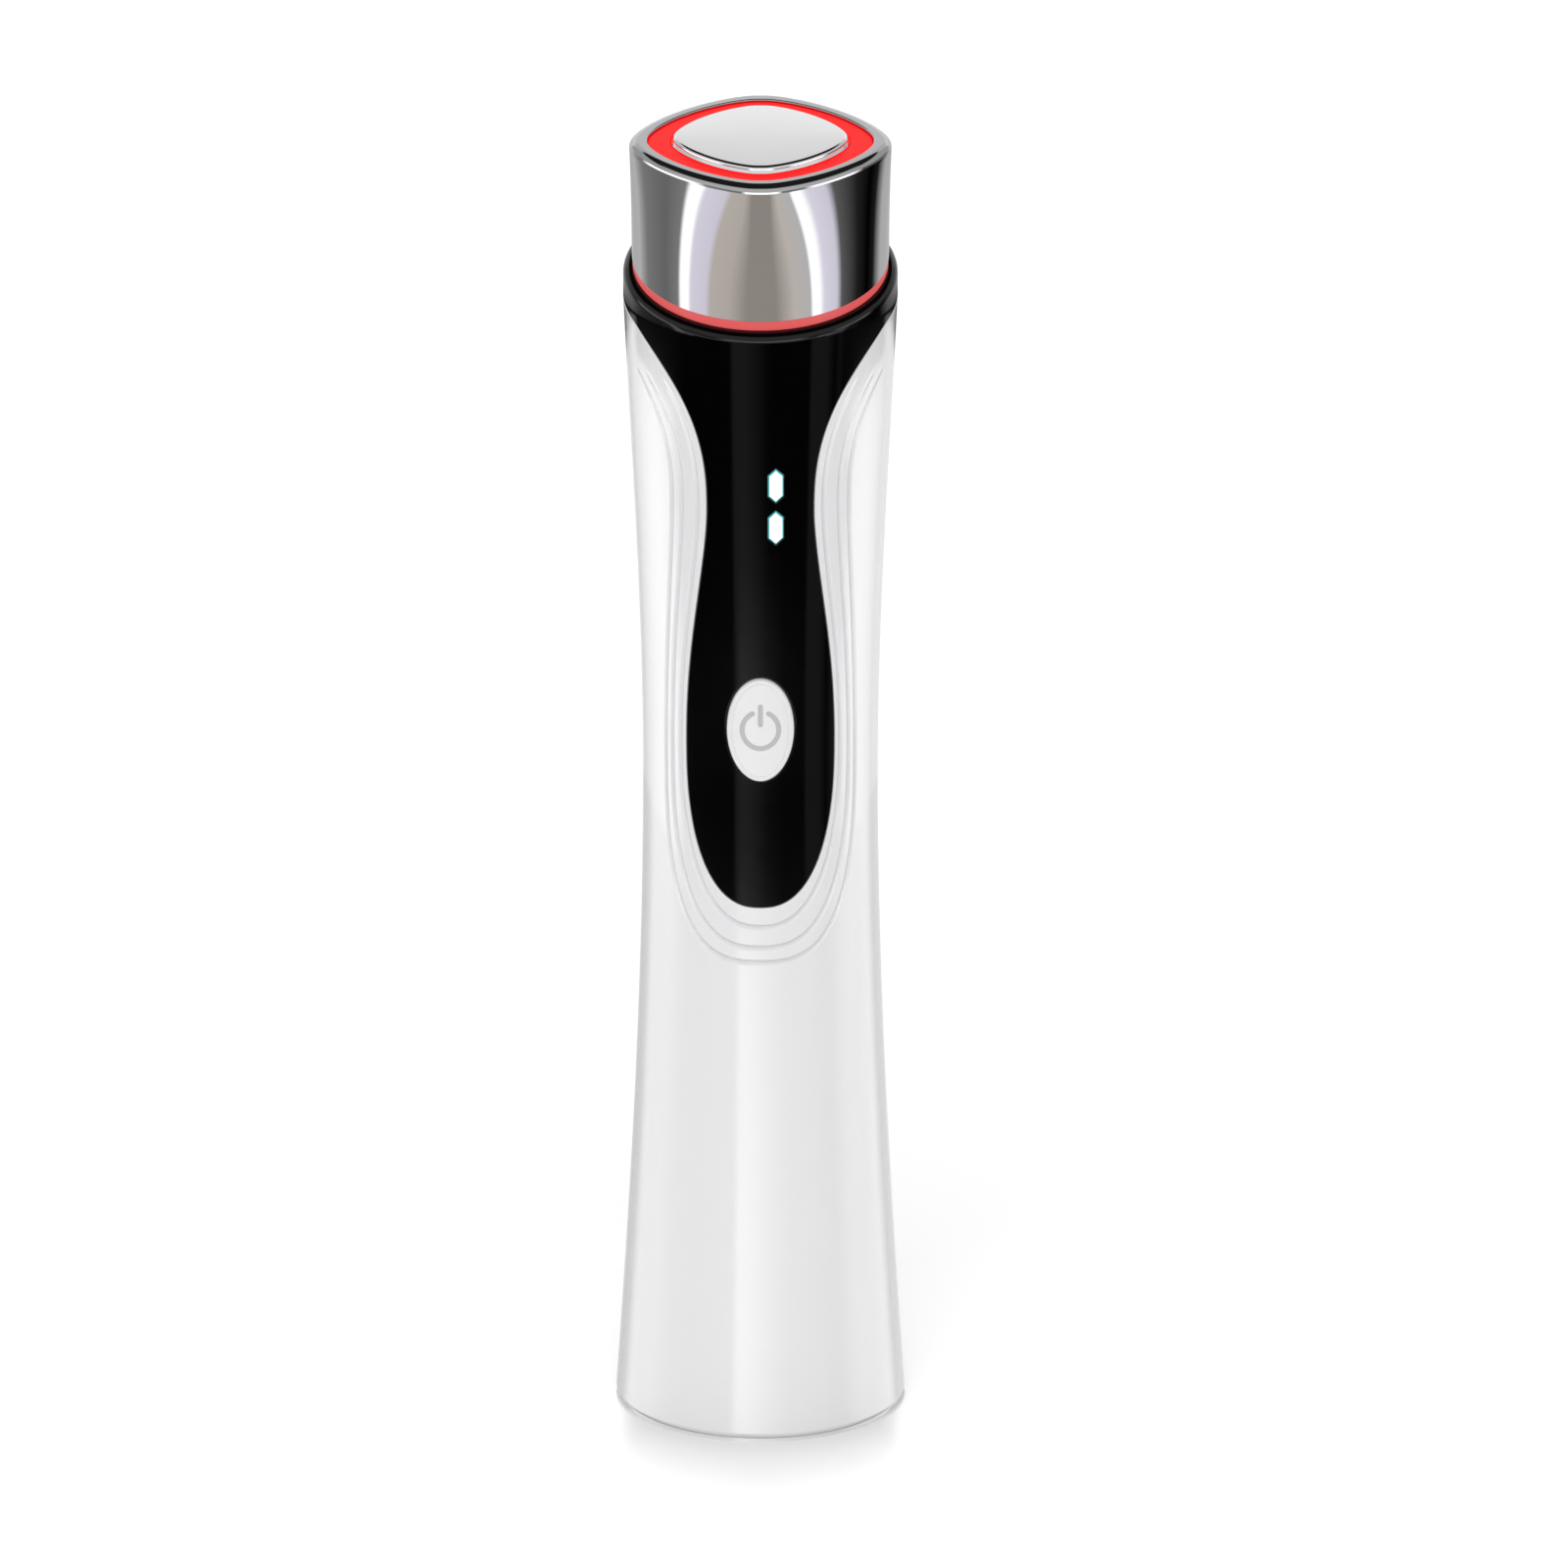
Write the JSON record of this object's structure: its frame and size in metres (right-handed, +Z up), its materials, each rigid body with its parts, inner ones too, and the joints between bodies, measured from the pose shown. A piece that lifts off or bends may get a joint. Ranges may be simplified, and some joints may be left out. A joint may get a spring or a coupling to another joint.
{
  "type": "microcurrent facial massager",
  "caption": "Slim standing facial massager wand with a metal electrode head, slanted collar, black control panel with oval power button, and a flared white handle.",
  "frame": {"origin": "centre of the base, on the surface that the massager stands on", "axes": "+Z up along the handle to the contact plate; -Y is the front, with the panel and button; +X to the right seen from the front"},
  "size_m": [0.0358, 0.0357, 0.1657],
  "materials": {
    "shell_white": "gloss white ABS",
    "panel_black": "high gloss black",
    "button_white": "satin gloss",
    "head_chrome": "mirror chrome",
    "plate_steel": "satin",
    "glow_red": "translucent, lit from inside",
    "glow_white": "translucent, lit from inside",
    "inner_plastic": "moulded",
    "dark_plastic": "moulded",
    "circuit_board": "solder mask",
    "lamp_white": "moulded",
    "flex_film": "film",
    "plated_brass": "plated",
    "bright_steel": "plated",
    "dark_metal": "sintered",
    "copper_wire": "enamelled",
    "soft_rubber": "moulded silicone",
    "cell_sleeve": "shrink film",
    "wire_cover": "PVC"
  },
  "bodies": {
    "handle": {"front_shell": "shell_white", "rear_shell": "shell_white", "front_panel": "panel_black", "base_cap": "shell_white", "collar_light_ring": "glow_red", "head_barrel": "head_chrome", "top_light_ring": "glow_red", "contact_plate": "plate_steel", "head_carrier": "inner_plastic", "head_led_board": "lamp_white", "head_leds": "lamp_white", "collar_led_strip": "flex_film", "collar_leds": "lamp_white", "plate_terminal": "plated_brass", "plate_nut": "bright_steel", "barrel_contact": "plated_brass", "motor_boot": "soft_rubber", "motor_can": "bright_steel", "motor_end_cap": "lamp_white", "motor_bushes": "plated_brass", "motor_magnets": "dark_metal", "switch_body": "dark_plastic", "indicator_light_guide": "glow_white", "indicator_leds": "lamp_white", "main_board": "circuit_board", "controller_chip": "dark_plastic", "boost_coil": "dark_metal", "board_capacitors": "bright_steel", "board_screws": "bright_steel", "battery_cell": "cell_sleeve", "battery_tabs": "bright_steel", "charge_board": "circuit_board", "usb_port": "bright_steel", "usb_tongue": "dark_plastic", "base_screws": "bright_steel", "battery_leads": "wire_cover", "charge_leads": "wire_cover", "head_leads": "wire_cover", "motor_leads": "wire_cover"},
    "button": {"power_button": "button_white"},
    "plunger": {"switch_plunger": "lamp_white"},
    "rotor": {"motor_shaft": "bright_steel", "motor_armature": "copper_wire", "eccentric_weight": "dark_metal"}
  },
  "joints": [
    {"name": "button_press", "type": "slide", "parent": "handle", "child": "button", "axis": [0, 1, 0], "range_m": [0, 0.00035], "stiffness_N_per_m": 600},
    {"name": "plunger_press", "type": "slide", "parent": "handle", "child": "plunger", "axis": [0, 1, 0], "range_m": [0, 0.00035]},
    {"name": "motor_spin", "type": "hinge", "parent": "handle", "child": "rotor", "pos_m": [0, 0, 0.14], "axis": [0, 0, 1], "continuous": true}
  ],
  "couplings": [
    {"joint": "plunger_press", "follows": "button_press", "ratio": 1}
  ]
}
